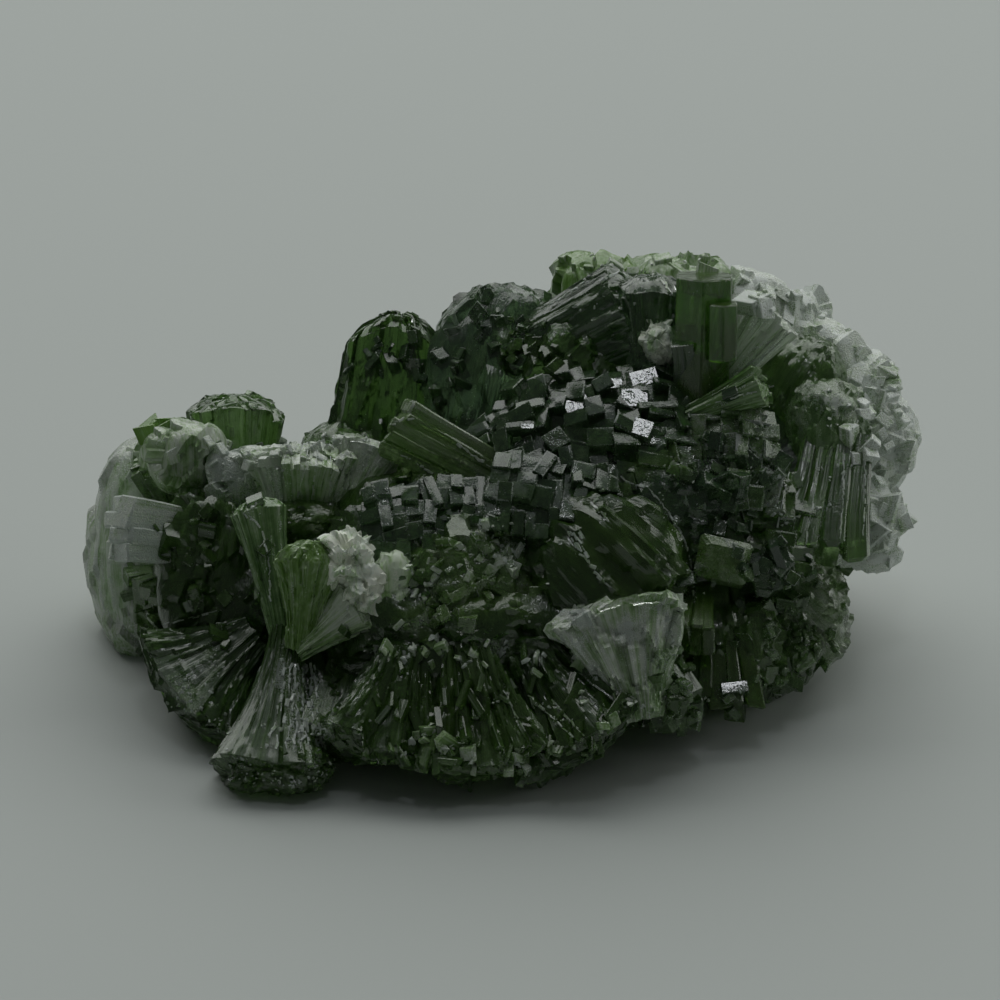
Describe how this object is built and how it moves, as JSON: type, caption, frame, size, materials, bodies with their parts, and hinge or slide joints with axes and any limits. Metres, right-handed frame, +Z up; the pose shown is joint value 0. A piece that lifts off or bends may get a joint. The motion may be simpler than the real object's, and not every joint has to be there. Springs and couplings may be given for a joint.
{
  "type": "prehnite crystal specimen",
  "caption": "Dark green prehnite hand specimen: fans of tabular crystals grown together, paler at both ends, one upright hexagonal prism, resting on a flat broken underside.",
  "frame": {"origin": "bottom centre of the bounding box, on the surface that the specimen rests on", "axes": "+X along the specimen's length towards its taller end, +Z up, the show side faces -Y"},
  "size_m": [0.0701, 0.0481, 0.0354],
  "materials": {
    "prehnite": "waxy"
  },
  "bodies": {
    "root": {"prehnite_cluster": "prehnite"}
  },
  "joints": []
}
